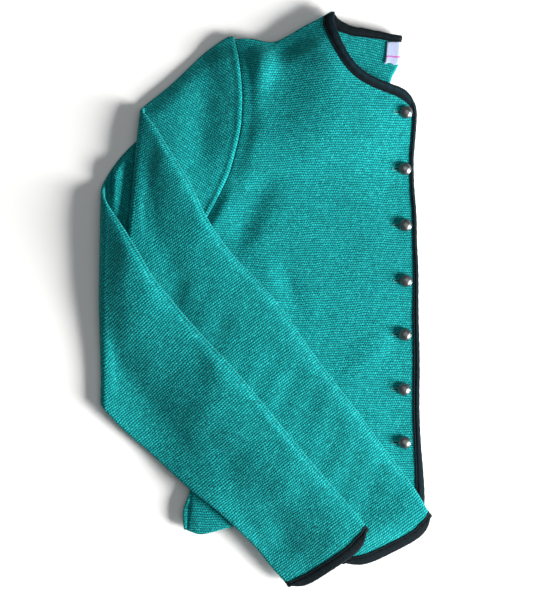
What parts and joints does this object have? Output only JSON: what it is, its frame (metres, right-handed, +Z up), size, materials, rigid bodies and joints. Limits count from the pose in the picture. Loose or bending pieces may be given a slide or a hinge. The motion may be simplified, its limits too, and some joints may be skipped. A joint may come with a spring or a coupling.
{
  "type": "knitted jacket",
  "caption": "Knitted wool folk jacket with dark bound edges and domed metal buttons, fastened, folded in half lengthwise with both sleeves folded across it, lying flat.",
  "frame": {"origin": "centre of the bounding box in plan, on the surface the jacket lies on", "axes": "+X towards the buttoned front edge, +Y towards the neck, +Z up from the surface"},
  "size_m": [0.3499, 0.6109, 0.0292],
  "materials": {
    "wool": "matte knitted wool, teal green",
    "binding": "matte folded knit binding, near-black blue-green",
    "button_metal": "dark polished pewter, slightly aged",
    "label": "smooth woven satin"
  },
  "bodies": {
    "root": {"front_right": "wool", "front_left": "wool", "back": "wool", "sleeve_right": "wool", "sleeve_left": "wool", "binding_front_right": "binding", "binding_front_left": "binding", "binding_neck_back": "binding", "binding_cuff_right": "binding", "binding_cuff_left": "binding", "button_1": "button_metal", "button_2": "button_metal", "button_3": "button_metal", "button_4": "button_metal", "button_5": "button_metal", "button_6": "button_metal", "button_7": "button_metal", "label": "label"}
  },
  "joints": []
}
